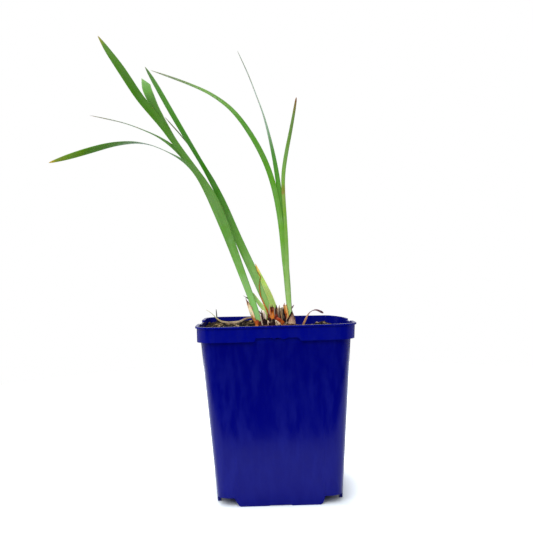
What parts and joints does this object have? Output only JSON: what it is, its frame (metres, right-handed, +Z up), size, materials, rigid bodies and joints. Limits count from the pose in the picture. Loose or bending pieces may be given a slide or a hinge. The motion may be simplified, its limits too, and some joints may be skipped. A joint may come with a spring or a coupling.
{
  "type": "potted iris",
  "caption": "Young iris clump with long narrow leaves leaning and arching to one side, growing in soil in a square tapered plastic nursery pot with a stepped rim band.",
  "frame": {"origin": "middle of the pot's footprint, on the surface it stands on", "axes": "+Z up, -Y towards the front of the pot that the picture shows, +X to the right of that front; the shoots lean towards -X"},
  "size_m": [0.2086, 0.11, 0.3311],
  "materials": {
    "pot": "semi-gloss moulded",
    "soil": "rough",
    "rootstock": "rough",
    "leaf": "satin",
    "young_leaf": "satin",
    "sheath": "papery",
    "rust_stub": "papery",
    "dead_leaf": "papery"
  },
  "bodies": {
    "root": {"pot": "pot", "soil": "soil", "crown": "rootstock", "leaf_left_tall": "leaf", "leaf_left_cut": "leaf", "leaf_left_side": "leaf", "leaf_left_arch": "leaf", "leaf_middle_broad": "leaf", "leaf_middle_inner": "leaf", "leaf_middle_spear": "young_leaf", "leaf_thin_pale": "young_leaf", "leaf_right_arch": "leaf", "leaf_right_upright": "leaf", "leaf_right_short": "leaf", "sheath_left": "dead_leaf", "sheath_mid": "sheath", "sheath_right": "sheath", "stub_orange": "rust_stub", "stub_tan": "sheath", "stub_strip": "rust_stub", "stub_slant": "rust_stub", "stub_wedge": "sheath", "dead_leaf_left": "dead_leaf", "dead_curl_right": "dead_leaf", "dry_twig_left": "dead_leaf"}
  },
  "joints": []
}
